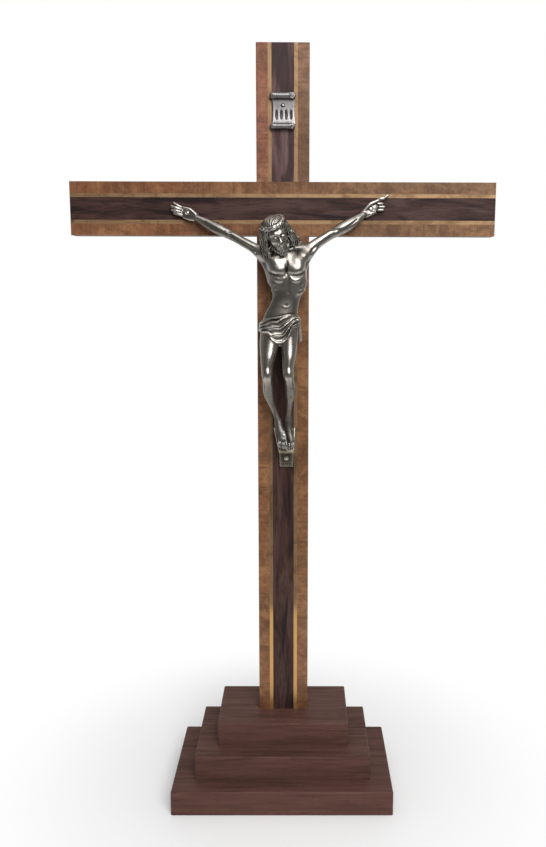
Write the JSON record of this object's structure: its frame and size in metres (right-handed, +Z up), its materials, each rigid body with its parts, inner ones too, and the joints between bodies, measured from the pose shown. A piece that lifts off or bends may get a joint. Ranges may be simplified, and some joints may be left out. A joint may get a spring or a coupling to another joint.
{
  "type": "standing crucifix",
  "caption": "Standing crucifix with a stepped wooden base, a cross inlaid with burl, dark wood and brass lines, and a cast silver-coloured figure with foot rest and title scroll.",
  "frame": {"origin": "middle of the base's underside", "axes": "X along the crossbar, the figure faces -Y, +Z up along the upright"},
  "size_m": [0.202, 0.061, 0.3655],
  "materials": {
    "base": "dark reddish walnut, satin varnish",
    "core": "dark stained wood, satin varnish",
    "burl": "mottled burl, satin varnish",
    "dark_wood": "dark figured wood, satin varnish",
    "brass": "sanded flush with the wood",
    "cast_silver": "antique silver casting with dark recesses",
    "nail_silver": "bright round heads",
    "steel": "plain steel"
  },
  "bodies": {
    "root": {"base_step_bottom": "base", "base_step_middle": "base", "base_step_top": "base", "upright_core": "core", "crossbar_core": "core", "crossbar_burl_lower": "burl", "crossbar_burl_upper": "burl", "shaft_burl_left": "burl", "shaft_burl_right": "burl", "upper_arm_burl_left": "burl", "upper_arm_burl_right": "burl", "crossbar_dark_panel": "dark_wood", "shaft_dark_panel": "dark_wood", "upper_arm_dark_panel": "dark_wood", "crossbar_brass_lower": "brass", "crossbar_brass_upper": "brass", "shaft_brass_left": "brass", "shaft_brass_right": "brass", "upper_arm_brass_left": "brass", "upper_arm_brass_right": "brass", "corpus": "cast_silver", "foot_rest": "cast_silver", "title_scroll": "cast_silver", "hand_nail_left": "nail_silver", "hand_nail_right": "nail_silver", "feet_nail": "nail_silver", "foot_rest_nail": "nail_silver", "scroll_nail": "nail_silver", "upright_screw": "steel", "step_screws": "steel"}
  },
  "joints": []
}
